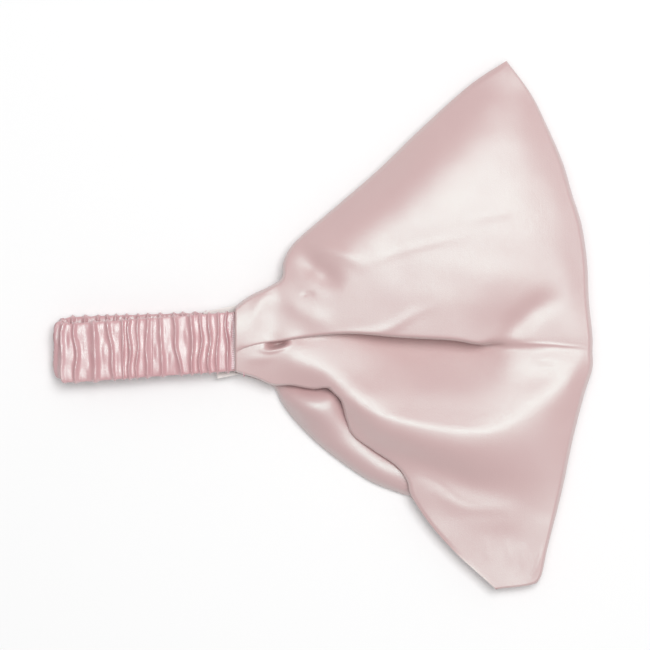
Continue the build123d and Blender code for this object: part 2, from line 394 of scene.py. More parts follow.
# each crease's name, its line, its height in mm (below 0 for a valley), and the distance in mm
# from the line at which it has fallen to about a third
CREASES = [
    ("ridge down from the shoulder", [(0.16, 0.31), (0.23, 0.3), (0.31, 0.26), (0.39, 0.2)], 0.9, 3.6),
    ("hollow under it", [(0.155, 0.255), (0.205, 0.23), (0.255, 0.185), (0.31, 0.135)], -2.2, 5.0),
    ("ridge to the crest", [(0.1, 0.13), (0.15, 0.09), (0.2, 0.05), (0.29, 0.0)], 0.8, 4.2),
    ("line along the lip", [
        (0.11, -0.03), (0.2, -0.05), (0.28, -0.03), (0.33, -0.02), (0.42, 0.0), (0.5, 0.05), (0.59, 0.09),
    ], 0.6, 2.2),
    ("first pleat", [(0.13, 0.195), (0.085, 0.12), (0.06, 0.055), (0.045, -0.04)], 0.3, 2.4),
    ("bright end of the pleat", [(0.1, -0.04), (0.15, -0.03), (0.2, -0.04)], 0.4, 2.6),
    ("line along the lower puff", [
        (0.17, -0.08), (0.18, -0.1), (0.16, -0.14), (0.2, -0.16), (0.24, -0.17), (0.28, -0.23),
        (0.31, -0.28), (0.37, -0.33), (0.46, -0.36), (0.57, -0.39), (0.7, -0.4), (0.77, -0.37),
        (0.84, -0.31), (0.91, -0.25),
    ], 0.24, 2.8),
    ("small wrinkle", [(0.18, 0.11), (0.205, 0.12), (0.225, 0.105)], -0.32, 1.1),
    ("long crease", [(0.325, 0.21), (0.46, 0.275), (0.56, 0.31), (0.675, 0.34)], 0.22, 2.2),
    ("short crease", [(0.615, 0.38), (0.71, 0.41), (0.81, 0.435)], 0.16, 2.2),
    ("dent", [(0.71, -0.065), (0.76, -0.04), (0.8, 0.02), (0.86, 0.08), (0.935, 0.11)], -1.5, 5.2),
    ("spot under the groove's end", [(0.82, -0.13), (0.87, -0.13), (0.91, -0.12)], 0.3, 2.6),
    ("pressed crease", [(0.755, -0.07), (0.82, -0.07), (0.895, -0.075), (1.0, -0.09)], 0.22, 0.7),
    ("fine fold", [(0.49, -0.56), (0.565, -0.6), (0.635, -0.67), (0.735, -0.705)], -0.14, 1.5),
    ("fine fold", [
        (0.475, -0.58), (0.545, -0.625), (0.6, -0.67), (0.685, -0.695), (0.82, -0.685),
    ], 0.08, 1.8),
    ("lower line", [(0.575, -0.735), (0.685, -0.725), (0.82, -0.735)], -0.15, 2.6),
    ("puckered seam", [(0.865, -0.815), (0.85, -0.89), (0.825, -0.98)], 0.35, 1.3),
    ("rib", [(0.755, -0.8), (0.775, -0.925)], 0.15, 1.6),
    ("rib", [(0.7, -0.795), (0.71, -0.915)], 0.15, 1.6),
    ("rib", [(0.805, -0.815), (0.805, -0.95)], 0.15, 1.4),
    ("hole", [(0.08, -0.09), (0.12, -0.085), (0.155, -0.07)], -6.0, 1.2),
    ("rim of the hole", [(0.06, -0.105), (0.095, -0.11), (0.125, -0.1), (0.165, -0.08)], 0.7, 1.0),
    ("pleat by the band", [(0.015, -0.135), (0.075, -0.135), (0.135, -0.12)], 0.3, 2.0),
]

LOWER_SEAM_HEIGHT = 2.4
LOWER_JOIN_HEIGHT = 4.4
# heights of the lower half's lining, whose near part shows in the pocket
UNDER_HEIGHTS = {
    "edges": [
        (*UNDER_SIDE[0], LOWER_JOIN_HEIGHT), *[(*s, LOWER_SEAM_HEIGHT) for s in UNDER_SIDE[2:]],
    ],
    "far edge": [(*s, LOWER_SEAM_HEIGHT) for s in UPPER_SIDE[1:]],
    "pocket rim": [
        (0.04, -0.21, 4.2), (0.09, -0.24, 4.6), (0.13, -0.29, 6.6), (0.17, -0.35, 7.2),
        (0.23, -0.44, 7.4), (0.31, -0.52, 7.2), (0.38, -0.58, 6.6), (0.46, -0.63, 5.6),
    ],
    "pocket bump": [
        (0.13, -0.25, 8.2), (0.16, -0.26, 10.8), (0.19, -0.27, 12), (0.23, -0.27, 12.2),
        (0.26, -0.27, 12),
    ],
    "bump top": [(0.15, -0.29, 9.8), (0.18, -0.32, 12.2), (0.22, -0.33, 13), (0.26, -0.33, 12.6)],
    "bump back": [(0.18, -0.36, 8.4), (0.23, -0.4, 8.4), (0.27, -0.43, 8.4)],
    "pocket side": [
        (0.28, -0.28, 11.2), (0.29, -0.32, 10.6), (0.31, -0.38, 9.8), (0.34, -0.45, 9.2),
        (0.39, -0.51, 8.8), (0.45, -0.56, 8.4), (0.48, -0.62, 7.2),
    ],
    "under the edge": [
        (0.31, -0.25, 5.2), (0.33, -0.33, 5.2), (0.36, -0.41, 5.2), (0.42, -0.47, 5.2), (0.47, -0.53, 5),
    ],
    "pocket floor": [(0.11, -0.22, 5), (0.15, -0.23, 5.4), (0.2, -0.24, 5.8), (0.24, -0.24, 6)],
    "strip": [(0.32, -0.47, 8.8), (0.38, -0.55, 8.2), (0.45, -0.6, 7.2)],
    "inside": [(0.2, 0.0, 3.4), (0.5, 0.0, 3.0), (0.8, 0.0, 3.2)],
}

# at shares of the way along the groove: how far the cloth above it laps over the cloth below it
LAP_WAY = (0.0, 0.05, 0.2, 0.4, 0.62, 0.76)
LAP_REACH = (0.4, 1.6, 1.8, 2.7, 2.3, 0.0)
LAP_TURN = 0.8  # how sharply the cloth turns back where it laps
LAP_FADE = 11.0  # how far from the groove cloth is pulled over
FULL_LAP = 1.5  # from this reach on it is a fold and not a crease
STEP_SETBACK = 1.1  # in turns, back under the lip
STEP_WIDTH = 0.8  # of the turn
CREASE_TURN = 2.4  # the turn where nothing laps
GROOVE_BOTTOM = 5.2
SEAM_HEIGHT = STACK - 5.2
LINING_HEIGHT = UPPER_LINING_LOW[2] - 5.6  # the upper half's lining hangs down
LOWER_LINING_FLOOR = 1.6
SEAM_ROUND = (1.1, 1.8)  # how far in the cloth rolls over at the near and the far side
LINING_ROUND = (6.0, 1.8)  # the same for the upper and the lower lining
LOWER_ROUND = 3.0
FOLD_ROUND = 1.6
CORNER_ROUND = 1.0
CORNER_REACH = 60.0  # where the fold is fully round
FOLD_INSET = 2.4  # of the lining, behind the satin
FOLD_INSET_FADE = 12.0
LOWER_HEIGHT = (0.45, 0.25)  # of the satin on the table: usual and least
# layers of undulation, each with its height and size in mm and its seed
UPPER_WAVES = [(0.16, 46, 3), (0.05, 17, 8)]
UPPER_LINING_WAVES = [(0.4, 50, 21), (0.12, 14, 5)]
LOWER_LINING_WAVES = [(0.25, 34, 6), (0.1, 12, 2)]
LOWER_WAVES = [(0.3, 38, 11)]
ROWS = 220  # closer together near the fold
ABOVE_COLUMNS = 150  # both closer together near the groove
BELOW_COLUMNS = 110
CROWDING = 1.5


class Front:
    """The plan grids of the upper and the lower half, and the groove between the two puffs."""

    def __init__(self):
        self.rows = 1 - (1 - np.linspace(0, 1, ROWS)) ** CROWDING
        above = np.linspace(0, 1, ABOVE_COLUMNS) ** CROWDING
        below = 1 - np.linspace(1, 0, BELOW_COLUMNS) ** CROWDING
        groove = at_shares(front_line(GROOVE), self.rows)
        self.groove = groove + np.c_[np.zeros(ROWS), np.interp(self.rows, LAP_WAY, LAP_REACH)]
        self.sides = [at_shares(front_line(s, 300), self.rows) for s in (LOWER_SIDE, UPPER_SIDE)]
        self.under_side = at_shares(front_line(UNDER_SIDE, 300), self.rows)
        self.fold = front_line(FOLD_EDGE, 400)
        meet = int(np.argmin(np.linalg.norm(self.fold - groove[-1], axis=1)))
        fold_above = at_shares(self.fold[: meet + 1][::-1], above)
        fold_below = at_shares(self.fold[meet:][::-1], below)
        self.groove[-1] = self.fold[meet]
        plan_above = self.half(self.groove, self.sides[1], fold_above, above)
        plan_below = self.half(self.sides[0], self.groove, fold_below, below)
        self.upper = np.concatenate([plan_below[:, :-1], plan_above], 1)
        share = BELOW_COLUMNS / (BELOW_COLUMNS + ABOVE_COLUMNS)
        columns = np.concatenate([share * below[:-1], share + (1 - share) * above])
        fold = np.concatenate([fold_below[:-1], fold_above])
        start = self.under_side[0] + columns[:, None] * (self.sides[1][0] - self.under_side[0])
        self.lower = patch(start, fold, self.under_side, self.sides[1], self.rows, columns)

    def half(self, low, high, fold, columns):
        """The plan grid between two lines that run from the band to the fold."""
        start = low[0] + columns[:, None] * (high[0] - low[0])
        return patch(start, fold, low, high, self.rows, columns)

    def fold_distance(self, points):
        """How far each point is from the fold's edge."""
        return nearest(points, self.fold[::2])[0]


def edge_distance(points, sides):
    """How far each point is from the nearer of two sides."""
    return np.minimum(*[nearest(points, side[::2])[0] for side in sides])


def upper_points(front):
    """The upper half's satin: two puffs with a groove between them."""
    points = front.upper.reshape(-1, 2)
    distance, way = nearest(points, front.groove[::2])
    below = np.zeros(front.upper.shape[:2], bool)
    below[:, : BELOW_COLUMNS - 1] = True
    signed = np.where(below.ravel(), -distance, distance)
    reach = np.interp(way, LAP_WAY, LAP_REACH)
    turn = LAP_TURN + (CREASE_TURN - LAP_TURN) * smooth(1 - reach / FULL_LAP)
    past_step = signed - STEP_SETBACK * LAP_TURN * smooth(reach)
    share = 0.5 + 0.5 * np.tanh(past_step / (STEP_WIDTH * turn))
    lower = np.maximum(Heights(BELOW, SOFT_LINES)(points), GROOVE_BOTTOM)
    upper = Heights(ABOVE, SOFT_LINES)(points)
    height = lower + (upper - lower) * share
    for _, line, rise, width in CREASES:
        height += ridge(points, line, rise, width)
    height += undulation(points, UPPER_WAVES)
    edge = edge_distance(points, front.sides)
    near = nearest(points, front.sides[0][::2])[0]
    roll = np.where(near < edge + 1e-6, *SEAM_ROUND)
    height = SEAM_HEIGHT + (height - SEAM_HEIGHT) * rounded(edge, roll)
    height = over_the_fold(front, points, height, edge)
    shift = reach * np.tanh(signed / LAP_TURN) * np.exp(-((signed / LAP_FADE) ** 2))
    return np.stack([points[:, 0], points[:, 1] - shift, height], 1).reshape(*below.shape, 3)


def over_the_fold(front, points, height, edge):
    """The cloth turns over the fold, sharply at the corners and softly between them."""
    radius = FOLD_ROUND * smooth(edge / CORNER_REACH) + CORNER_ROUND
    return MIDDLE + (height - MIDDLE) * rounded(front.fold_distance(points), radius)


def turned_in(points, depth, drop, count=6):
    """Adds rows at the band's end, where the cloth is turned in over the band."""
    first = points[0]
    extra = []
    for i in range(count, 0, -1):
        angle = i / count * math.pi / 2
        row = first.copy()
        row[:, 0] += depth * (1 - math.cos(angle))
        row[:, 2] -= drop * math.sin(angle)
        extra.append(row)
    return np.concatenate([np.array(extra), points], 0)


def upper_lining_points(front):
    """The upper half's lining, which hangs a little between its seams."""
    points = front.upper.reshape(-1, 2)
    height = LINING_HEIGHT + undulation(points, UPPER_LINING_WAVES)
    seam = rounded(edge_distance(points, front.sides), LINING_ROUND[0])
    height = SEAM_HEIGHT + (height - SEAM_HEIGHT) * seam
    return fold_inward(front, front.upper, height)


def lower_lining_points(front):
    """The lower half's lining, which bulges where it shows in the pocket."""
    points = front.lower.reshape(-1, 2)
    height = Heights(UNDER_HEIGHTS)(points) + undulation(points, LOWER_LINING_WAVES)
    height = np.maximum(height, LOWER_LINING_FLOOR)
    edge = edge_distance(points, (front.under_side, front.sides[1]))
    height = LOWER_SEAM_HEIGHT + (height - LOWER_SEAM_HEIGHT) * rounded(edge, LINING_ROUND[1])
    return fold_inward(front, front.lower, height)


def fold_inward(front, plan, height):
    """The lining turns over inside the satin's fold."""
    points = plan.reshape(-1, 2)
    fold = front.fold_distance(points)
    height = MIDDLE + (height - MIDDLE) * rounded(fold, LINING_ROUND[0])
    seam = smooth(edge_distance(points, front.sides) / FOLD_INSET_FADE)
    inset = FOLD_INSET * np.exp(-fold / FOLD_INSET_FADE) * seam
    return np.stack([points[:, 0] - inset, points[:, 1], height], 1).reshape(*plan.shape[:2], 3)


def lower_points(front):
    """The lower half's satin, flat on the table, turned up at its edges."""
    points = front.lower.reshape(-1, 2)
    height = LOWER_HEIGHT[0] + undulation(points, LOWER_WAVES)
    height = np.maximum(height, LOWER_HEIGHT[1])
    edge = edge_distance(points, (front.under_side, front.sides[1]))
    height = LOWER_SEAM_HEIGHT + (height - LOWER_SEAM_HEIGHT) * rounded(edge, LOWER_ROUND)
    height = over_the_fold(front, points, height, edge)
    return np.concatenate([points, height[:, None]], 1).reshape(*front.lower.shape[:2], 3)


def thinned(points):
    """Every other row and column, with the last ones kept."""
    rows = [*range(0, points.shape[0] - 1, 2), points.shape[0] - 1]
    columns = [*range(0, points.shape[1] - 1, 2), points.shape[1] - 1]
    return points[rows][:, columns]


def blend_upper(piece):
    """Bakes the placement of a piece of the upper half, beside the fold, into its mesh."""
    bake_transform(piece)


END_TUCK = (4.0, 1.2)  # how far in and down the satin's end is turned over the band


def make_front(satin_material, lining_material):
    """The four cloth pieces of the front."""
    front = Front()
    upper = grid_mesh("satin_front_upper", turned_in(upper_points(front), *END_TUCK))
    upper_lining = grid_mesh("lining_front_upper", thinned(upper_lining_points(front)), faces_up=False)
    lower = grid_mesh("satin_front_lower", thinned(lower_points(front)), faces_up=False)
    lower_lining = grid_mesh("lining_front_lower", thinned(lower_lining_points(front)))
    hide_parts("front_upper_outer")
    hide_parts("front_upper_lining")
    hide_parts("front_lower_outer", "front_fold_outer")
    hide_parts("front_lower_lining", "front_fold_lining")
    for piece in (upper, upper_lining):
        blend_upper(piece)
    for piece in (lower, lower_lining):
        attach(piece, "front_lower")
    for piece, material, held, under in (
        (upper, satin_material, "gathered", lower_lining),
        (upper_lining, lining_material, "gathered", lower_lining),
        (lower, satin_material, "laid", "floor"),
        (lower_lining, lining_material, "laid", lower),
    ):
        piece.data.materials.append(material)
    return front


# ---- the ruched casing
# Lengths along the casing run from the upper join, round the back, to the lower join.

CASING_END = 6.0  # how far the casing goes in under the front's end
TURN_RADIUS = (STACK - 2 * RUN_CENTRE) / 2
TURN_X = BACK_X + TURN_RADIUS + RUN_CENTRE
STRAIGHT = JOIN_X + CASING_END - TURN_X
TURN = math.pi * TURN_RADIUS
CASING_LENGTH = 2 * STRAIGHT + TURN
CASING_HALF_WIDTH = 0.445 * BAND_WIDTH
CASING_HALF_THICKNESS = 1.5
SECTION_POWER = 2 / 3  # less is boxier, and 1 an ellipse
RUCHE = 2.3  # how far a crest stands out
RUCHE_ZERO = 0.12
RUCHE_SIDEWAYS = 0.4  # what is left of a ruche at the band's edges
FINE_WAVES = (0.2, 9, 31)  # height and size in mm, and seed
HELD = 0.3  # what is left of the ruches where it is sewn in
HELD_DROP = 0.8  # how far the upper run dips there
BACK_NARROWING = 0.07  # at the back, as a share of the width
HELD_NARROWING = 0.02
ROW_PITCH = 0.36
TABLE_GAP = 0.12
CLOTH = 0.25
UPPER_Y = (-7.4, -12.6)  # the upper run's middle, at the join and at the back
LOWER_Y = (-7.2, -9.6)
# each ruche's distance from the join, at its far edge and at its near edge
RUCHES = [
    (0.6, 0.2), (3.6, 3.0), (7.6, 7.9), (11.8, 11.2), (15.6, 15.2), (19.6, 19.2), (27.6, 23.8),
    (33.6, 32.4), (39.0, 39.4), (43.4, 43.9), (47.4, 47.2), (50.4, 49.8), (57.4, 53.8), (63.4, 62.6),
    (72.0, 71.6), (76.0, 76.4),
]
RUCHE_PITCH = 5.0  # of the ruches beyond those
AROUND = 136  # points round the casing


def casing_centre(way):
    """The casing's middle line: x, y, z and the outward direction's x and z, for each way in mm."""
    turn = np.clip((way - STRAIGHT) / TURN, 0, 1)
    angle = turn * math.pi
    upper = np.clip(way, 0, STRAIGHT)
    lower = np.clip(CASING_LENGTH - way, 0, STRAIGHT)
    in_upper, in_lower = way <= STRAIGHT, way >= STRAIGHT + TURN
    end_x = JOIN_X + CASING_END
    x = np.where(in_upper, end_x - upper, np.where(in_lower, end_x - lower, TURN_X))
    x = x - TURN_RADIUS * np.sin(angle)
    z = MIDDLE + TURN_RADIUS * np.cos(angle)
    upper_y = np.interp(upper, [CASING_END, STRAIGHT], UPPER_Y)
    lower_y = np.interp(lower, [CASING_END, STRAIGHT], LOWER_Y)
    y = upper_y + (lower_y - upper_y) * smooth(turn)
    return np.stack([x, y, z], 1), np.stack([-np.sin(angle), np.zeros(len(way)), np.cos(angle)], 1)


def section():
    """The flattened tube's section, evenly spaced: across and outward shares, and its normals."""
    angle = np.linspace(0, 2 * math.pi, 2000)
    across = np.sign(np.cos(angle)) * np.abs(np.cos(angle)) ** SECTION_POWER
    outward = np.sign(np.sin(angle)) * np.abs(np.sin(angle)) ** SECTION_POWER
    line = np.stack([across * CASING_HALF_WIDTH, outward * CASING_HALF_THICKNESS], 1)
    line = at_shares(line, np.linspace(0, 1, AROUND, endpoint=False))
    step = np.roll(line, -1, 0) - np.roll(line, 1, 0)
    normal = np.stack([step[:, 1], -step[:, 0]], 1)
    return line, normal / np.linalg.norm(normal, axis=1)[:, None]


def ruche_places():
    """Where each ruche crosses the two edges, for the whole length of the casing."""
    chance = np.random.default_rng(12)
    far = [CASING_END + r[0] for r in RUCHES]
    near = [CASING_END + r[1] for r in RUCHES]
    while far[-1] < CASING_LENGTH:
        step = RUCHE_PITCH * chance.uniform(0.75, 1.3)
        far.append(far[-1] + step)
        near.append(near[-1] + step + chance.uniform(-1, 1) + 0.3 * (far[-2] - near[-1]))
    far.insert(0, CASING_END - 3.4)
    near.insert(0, CASING_END - 3.8)
    return np.array(far), np.array(near)


def ruche_height(way, across, inner):
    """0 in the valleys and about 1 on the crests, at each way along and share across."""
    far, near = ruche_places()
    count = len(far)
    chance = np.random.default_rng(7 if inner else 4)
    sway = chance.uniform(-0.55, 0.55, (count, 3))
    size = chance.uniform(0.72, 1.15, count)
    lean = chance.uniform(-0.1, 0.1, count)
    found = np.zeros((len(way), len(across)))
    for j, v in enumerate(across):
        share = (v + 1) / 2
        places = near + (far - near) * share
        for k in range(3):
            places = places + sway[:, k] * math.sin(math.pi * (k + 1) * share)
        places = np.maximum.accumulate(places + np.arange(count) * 1e-3)
        phase = np.interp(way, places, np.arange(count))
        whole = np.round(phase)
        offset = phase - whole
        offset = offset + np.interp(phase, np.arange(count), lean) * np.sin(2 * math.pi * offset)
        pinch = np.exp(-((offset / 0.15) ** 2))
        crest = 0.9 * pinch + 0.1 * np.cos(math.pi * offset) ** 2
        found[:, j] = crest * np.interp(phase, np.arange(count), size)
    return found


def casing_points():
    """Each row's way, and the whole ruched tube, with rows along it and columns round it."""
    way = np.linspace(0, CASING_LENGTH, int(CASING_LENGTH / ROW_PITCH))
    centre, outward = casing_centre(way)
    line, normal = section()
    across = line[:, 0] / CASING_HALF_WIDTH
    outer = line[:, 1] >= 0
    outer_side, inner_side = [ruche_height(way, across, inner) for inner in (False, True)]
    crest = np.where(outer[None], outer_side, inner_side)
    flat = np.stack(np.meshgrid(way * 2.2, line[:, 0] + 40 * outer, indexing="ij"), -1)
    fine = undulation(flat.reshape(-1, 2), [FINE_WAVES]).reshape(crest.shape)
    end = np.minimum(way, CASING_LENGTH - way) - CASING_END
    held = HELD + (1 - HELD) * smooth((end + 1.5) / 5)
    rise = held[:, None] * (RUCHE * (crest - RUCHE_ZERO) + fine)
    turn = np.sin(np.clip((way - STRAIGHT) / TURN, 0, 1) * math.pi)
    width = 1 - BACK_NARROWING * turn**2 - HELD_NARROWING * (1 - held)
    y = line[None, :, 0] * width[:, None] + normal[None, :, 0] * rise * RUCHE_SIDEWAYS
    out = line[None, :, 1] * held[:, None] + normal[None, :, 1] * rise
    points = centre[:, None] + out[..., None] * outward[:, None]
    points[..., 1] += y
    points[..., 2] -= np.where(way < STRAIGHT, HELD_DROP * (1 - held), 0)[:, None]
    points[..., 2] = np.maximum(points[..., 2], TABLE_GAP)
    return way, points


def split_row(way):
    """The row nearest to where the casing's two moving lengths part."""
    return int(np.argmin(np.abs(way - (JOIN_X + CASING_END - SPLIT_X))))


def blend_back(piece):
    """Bakes the placement of a piece of the loop into its mesh."""
    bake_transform(piece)


def blend_upper_band(piece):
    """Bakes the placement of a piece of the upper run, beside the join, into its mesh."""
    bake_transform(piece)


def make_casing(material):
    """The ruched casing, in two lengths that part where the loop opens."""
    way, points = casing_points()
    split = split_row(way)
    back = grid_mesh("casing_ruched_back", points[split:], around=True)
    upper = grid_mesh("casing_ruched_upper", points[: split + 1], around=True)
    thicken(back, CLOTH * MM, -1.0)
    thicken(upper, CLOTH * MM, -1.0)
    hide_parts("casing_back_loop", "casing_lower_run")
    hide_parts("casing_upper_run")
    blend_back(back)
    blend_upper_band(upper)
    share = way[split] / CASING_LENGTH
    for piece, part in ((back, 1 - share), (upper, share)):
        piece.data.materials.append(material)
    return way, points, split


# ---- elastic, threads and label


def strip(name, way):
    """A flat woven strip along the casing's middle line."""
    centre, outward = casing_centre(way)
    half, thick = ELASTIC_WIDTH / 2, ELASTIC_THICKNESS / 2
    across = np.linspace(-half, half, 30)
    edge = thick * np.sqrt(np.clip(1 - (np.abs(across) / half) ** 8, 0.1, 1))
    y = np.concatenate([across, across[::-1]])
    out = np.concatenate([edge, -edge[::-1]])
    points = centre[:, None] + out[None, :, None] * outward[:, None]
    points[..., 1] += y
    return grid_mesh(name, points, around=True, faces_up=False, capped=True)


ELASTIC_INSET = 2.0  # from the casing's ends


def make_elastic(material, way, split):
    """The elastic, in the same two lengths as the casing."""
    upper = strip("elastic_upper", np.linspace(ELASTIC_INSET, way[split], 60))
    back = strip("elastic_back", np.linspace(way[split], CASING_LENGTH - ELASTIC_INSET, 220))
    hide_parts("elastic_upper_run")
    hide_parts("elastic_back_loop", "elastic_lower_run")
    blend_upper_band(upper)
    blend_back(back)
    for piece in (upper, back):
        piece.data.materials.append(material)


def tube(line, radius, sides=6):
    """Points of a round tube along a line, its ends pinched."""
    step = np.gradient(line, axis=0)
    step /= np.linalg.norm(step, axis=1)[:, None]
    side = np.cross(step, [0.0, 0.1, 1.0])
    side /= np.linalg.norm(side, axis=1)[:, None]
    up = np.cross(side, step)
    angle = np.linspace(0, 2 * math.pi, sides, endpoint=False)
    ring = np.cos(angle)[None, :, None] * side[:, None] + np.sin(angle)[None, :, None] * up[:, None]
    size = np.full(len(line), radius)
    size[[0, -1]] = radius * 0.25
    return line[:, None] + ring * size[:, None, None]


STITCH_POINTS = 7
STITCH_BOW = 0.18  # how far a stitch stands away from the cloth


def stitches(name, line, normal, pitch=3.0, length=2.4, radius=0.2):
    """A row of short stitches along a line, each bowed a little away from the cloth."""
    steps = np.linalg.norm(np.diff(line, axis=0), axis=1)
    way = np.concatenate([[0], np.cumsum(steps)])
    points, faces = [], []
    for start in np.arange(0.3, way[-1] - length, pitch):
        at = np.linspace(start, start + length, STITCH_POINTS)
        bow = np.sin(np.linspace(0, math.pi, STITCH_POINTS))[:, None] * STITCH_BOW
        core = np.stack([np.interp(at, way, line[:, i]) for i in range(3)], 1)
        lift = np.stack([np.interp(at, way, normal[:, i]) for i in range(3)], 1)
        ring = tube(core + bow * lift, radius)
        base = sum(len(p) for p in points)
        index = np.arange(ring.shape[0] * ring.shape[1]).reshape(ring.shape[:2]) + base
        index = np.c_[index, index[:, :1]]
        quads = [index[:-1, :-1], index[1:, :-1], index[1:, 1:], index[:-1, 1:]]
        faces.append(np.stack([q.ravel() for q in quads], 1))
        points.append(ring.reshape(-1, 3))
    return make_mesh(name, np.vstack(points), np.vstack(faces).tolist())


SIDE_SEAM_INSET = 3.0  # from the front's sides, between the satin and the lining
UPPER_STITCH_HEIGHT = SEAM_HEIGHT - 0.8
LOWER_STITCH_HEIGHT = LOWER_SEAM_HEIGHT - 0.6


def casing_seam(name, points, material):
    """Stitches of the casing's long seam, on its head side."""
    column = int(AROUND * 0.75)
    line = points[:, column]
    line = 0.5 * line + 0.25 * (np.roll(line, 2, 0) + np.roll(line, -2, 0))
    line = line[2:-2]
    normal = np.cross(np.gradient(line, axis=0), [0, 1.0, 0])
    normal /= np.linalg.norm(normal, axis=1)[:, None]
    seam = stitches(name, line - 0.05 * normal, -normal)
    seam.data.materials.append(material)
    return seam


def make_threads(front, material, points, split):
    """The stitches of the casing's seam and of the front's side seams."""
    upper = casing_seam("seam_casing_upper", points[: split + 1], material)
    back = casing_seam("seam_casing_back", points[split:], material)
    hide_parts("casing_seam_upper")
    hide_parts("casing_seam_back", "casing_seam_lower")
    blend_upper_band(upper)
    blend_back(back)
    for half, node, height, near in (
        ("upper", "side_seams_upper", UPPER_STITCH_HEIGHT, front.sides[0]),
        ("lower", "side_seams_lower", LOWER_STITCH_HEIGHT, front.under_side),
    ):
        for place_name, side, inward in (("far", front.sides[1], -1), ("near", near, 1)):
            line = side[4:-14]
            step = np.gradient(line, axis=0)
            step /= np.linalg.norm(step, axis=1)[:, None]
            inside = np.stack([-step[:, 1], step[:, 0]], 1) * inward
            line = np.c_[line + SIDE_SEAM_INSET * inside, np.full(len(line), height)]
            up = np.tile(UP, (len(line), 1))
            seam = stitches(f"seam_{half}_{place_name}", line, up, radius=0.16)
            seam.data.materials.append(material)
            if place_name == "far":
                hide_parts(node)
            if half == "upper":
                blend_upper(seam)
            else:
                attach(seam, "front_lower")


LABEL_TURN = math.radians(11.5)
LABEL_RISE = 0.9  # of its free corners
LABEL_SHIFT = 6.2  # further in than its solid
LABEL_Y = -4.4
LABEL_SHARE = 0.93  # of its width, since its edges curl
LABEL_GAP = 0.15
LABEL_RIPPLE = 0.12


def label_points():
    """The label lies between the band's runs at the join, its free corners a little lifted."""
    along, across = np.meshgrid(np.linspace(-1, 0, 50), np.linspace(-0.5, 0.5, 70), indexing="ij")
    x0, y0 = along * LABEL_LENGTH, across * LABEL_WIDTH
    x = LABEL_HIGH[0] + LABEL_SHIFT + x0 * math.cos(LABEL_TURN) - y0 * math.sin(LABEL_TURN)
    y = LABEL_Y + x0 * math.sin(LABEL_TURN) + y0 * LABEL_SHARE * math.cos(LABEL_TURN)
    z = LABEL_HIGH[2] + LABEL_GAP + LABEL_RISE * np.abs(2 * across) ** 3 * (0.4 - along)
    z += LABEL_RIPPLE * np.sin(5.5 * across * math.pi + 3 * along)
    return np.stack([x, y, z], -1)


def make_label(material, thread_material):
    """The blank label and the row of stitches that holds it."""
    points = label_points()
    label = grid_mesh("label_blank", points, faces_up=False)
    thicken(label, LABEL_THICKNESS * MM)
    label.data.materials.append(material)
    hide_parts("blank_label")
    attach(label, "front_lower")
    line = points[-8, 3:-3] + np.array([0, 0, 0.25])
    up = np.tile(UP, (len(line), 1))
    row = stitches("seam_label", line, up)
    row.data.materials.append(thread_material)
    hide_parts("label_stitching")
    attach(row, "front_lower")


def thicken(piece, thickness, offset=0.0):
    """Gives a sheet its thickness, on both sides, or inward where offset is -1."""
    solid = piece.modifiers.new("thickness", "SOLIDIFY")
    solid.thickness = thickness
    solid.offset = offset
    bpy.context.view_layer.update()
    evaluated = piece.evaluated_get(bpy.context.evaluated_depsgraph_get())
    made = bpy.data.meshes.new_from_object(evaluated)
    piece.modifiers.clear()
    piece.data = made


# ---- materials


def srgb(red, green, blue):
    """A colour given as 0 to 255 display values, as linear values."""
    shares = [c / 255 for c in (red, green, blue)]
    return tuple(c / 12.92 if c < 0.04 else ((c + 0.055) / 1.055) ** 2.4 for c in shares)


